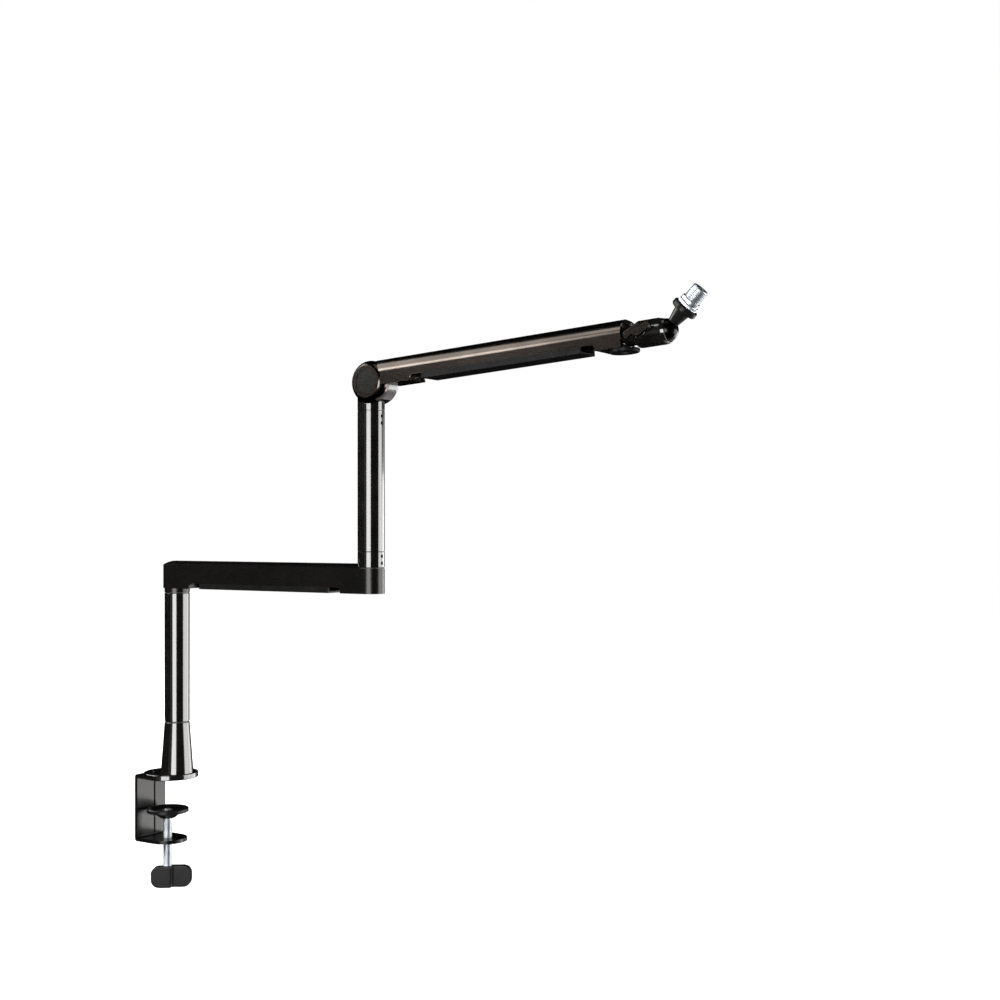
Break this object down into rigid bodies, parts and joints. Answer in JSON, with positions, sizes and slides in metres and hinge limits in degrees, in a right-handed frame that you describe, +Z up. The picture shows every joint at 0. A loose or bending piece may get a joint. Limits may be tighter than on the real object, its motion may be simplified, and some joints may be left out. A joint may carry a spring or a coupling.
{
  "type": "microphone boom arm",
  "caption": "Low-profile microphone boom arm with a desk clamp, turning risers, a tilting upper arm with clip-on cable covers, and a ball head with a 5/8 inch thread.",
  "frame": {"origin": "on the axis of the lower riser, at the rubber face under the top jaw, which rests on the desk", "axes": "+Z up along the lower riser, +X along the lower arm towards the upper riser, +Y to the side away from the ball head's lever"},
  "size_m": [0.6995, 0.0606, 0.6277],
  "materials": {
    "satin_black": "satin",
    "gloss_black": "gloss",
    "arm_brown_black": "satin",
    "black_plastic": "gloss",
    "rubber": "matte",
    "friction_lining": "matte",
    "nylon": "matte",
    "bright_zinc": "bright",
    "steel": "satin",
    "dark_steel": "gloss"
  },
  "bodies": {
    "clamp_and_base": {"clamp_frame": "satin_black", "jaw_pad": "rubber", "base_flange": "gloss_black", "flange_screws": "dark_steel", "base_bolt": "steel", "base_socket": "gloss_black", "socket_bush_lower": "nylon", "socket_bush_upper": "nylon"},
    "pad": {"pressure_pad": "black_plastic"},
    "clamp_spindle": {"clamp_screw": "bright_zinc", "pad_clip": "steel", "clamp_knob": "black_plastic"},
    "lower_riser": {"lower_riser_tube": "gloss_black", "riser_foot": "steel", "riser_head_post": "steel", "arm_retaining_washer": "steel", "arm_retaining_bolt": "steel"},
    "lower_arm": {"lower_arm_shell": "satin_black", "lower_arm_top_cover": "satin_black", "top_cover_screws": "steel", "arm_bush": "nylon", "arm_thrust_washer": "nylon", "swivel_bush": "nylon", "swivel_cap": "rubber"},
    "lower_cover": {"lower_cable_cover": "black_plastic"},
    "upper_riser": {"swivel_post": "steel", "swivel_thrust_washer": "nylon", "swivel_washer": "steel", "swivel_nut": "steel", "riser_collar": "gloss_black", "collar_screws": "dark_steel", "upper_riser_tube": "gloss_black", "tube_screws": "dark_steel", "elbow_yoke": "gloss_black", "elbow_bolt": "steel", "disc_springs": "steel", "elbow_nut": "steel", "elbow_back_cap": "gloss_black", "friction_disc": "friction_lining"},
    "upper_arm": {"elbow_hub": "arm_brown_black", "elbow_bush": "nylon", "elbow_cap": "arm_brown_black", "upper_arm_shell": "arm_brown_black", "tongue_screws": "steel", "end_block": "gloss_black", "end_block_screw": "steel", "pivot_pin": "steel"},
    "upper_cover": {"upper_cable_cover": "black_plastic"},
    "head": {"head_shell_near": "gloss_black", "head_shell_far": "gloss_black", "lever_screw": "bright_zinc", "lever_washer": "steel"},
    "lever": {"wing_lever": "black_plastic"},
    "seat": {"ball_seat": "nylon"},
    "ball_body": {"ball": "dark_steel"},
    "stud": {"ball_stud": "gloss_black", "stud_screw": "steel", "thread_adapter": "bright_zinc"}
  },
  "joints": [
    {"name": "pad_slide", "type": "slide", "parent": "clamp_and_base", "child": "pad", "axis": [0, 0, 1], "range_m": [-0.0215, 0.028]},
    {"name": "screw_turn", "type": "hinge", "parent": "pad", "child": "clamp_spindle", "pos_m": [-0.0151, 0, 0], "axis": [0, 0, 1], "range_deg": [-5220, 6780]},
    {"name": "lower_riser_swivel", "type": "hinge", "parent": "clamp_and_base", "child": "lower_riser", "pos_m": [0, 0, 0], "axis": [0, 0, 1], "continuous": true},
    {"name": "lower_arm_swivel", "type": "hinge", "parent": "lower_riser", "child": "lower_arm", "pos_m": [0, 0, 0], "axis": [0, 0, 1], "continuous": true},
    {"name": "lower_cover_lift", "type": "slide", "parent": "lower_arm", "child": "lower_cover", "axis": [0, 0, -1], "range_m": [0, 0.03]},
    {"name": "upper_riser_swivel", "type": "hinge", "parent": "lower_arm", "child": "upper_riser", "pos_m": [0.278, 0, 0], "axis": [0, 0, 1], "continuous": true},
    {"name": "elbow_tilt", "type": "hinge", "parent": "upper_riser", "child": "upper_arm", "pos_m": [0.2825, 0, 0.4348], "axis": [0, -1, 0], "range_deg": [-54, 80]},
    {"name": "upper_cover_lift", "type": "slide", "parent": "upper_arm", "child": "upper_cover", "axis": [0.068, 0, -0.9977], "range_m": [0, 0.03]},
    {"name": "head_swivel", "type": "hinge", "parent": "upper_arm", "child": "head", "pos_m": [0.57142, 0, 0.46051], "axis": [-0.068, 0, 0.9977], "range_deg": [-25, 25]},
    {"name": "lever_turn", "type": "hinge", "parent": "head", "child": "lever", "pos_m": [0.59323, 0, 0.464], "axis": [0, -1, 0], "range_deg": [0, 180]},
    {"name": "ball_roll", "type": "hinge", "parent": "head", "child": "seat", "pos_m": [0.61472, 0, 0.46346], "axis": [0.9977, 0, 0.068], "continuous": true},
    {"name": "ball_tilt", "type": "hinge", "parent": "seat", "child": "ball_body", "pos_m": [0.61472, 0, 0.46346], "axis": [0, 1, 0], "range_deg": [-3.3, 86.7]},
    {"name": "stud_spin", "type": "hinge", "parent": "ball_body", "child": "stud", "pos_m": [0.61472, 0, 0.46346], "axis": [0.6997, 0, 0.7145], "continuous": true}
  ],
  "couplings": [
    {"joint": "screw_turn", "follows": "pad_slide", "rad_per_m": 4188.8}
  ]
}
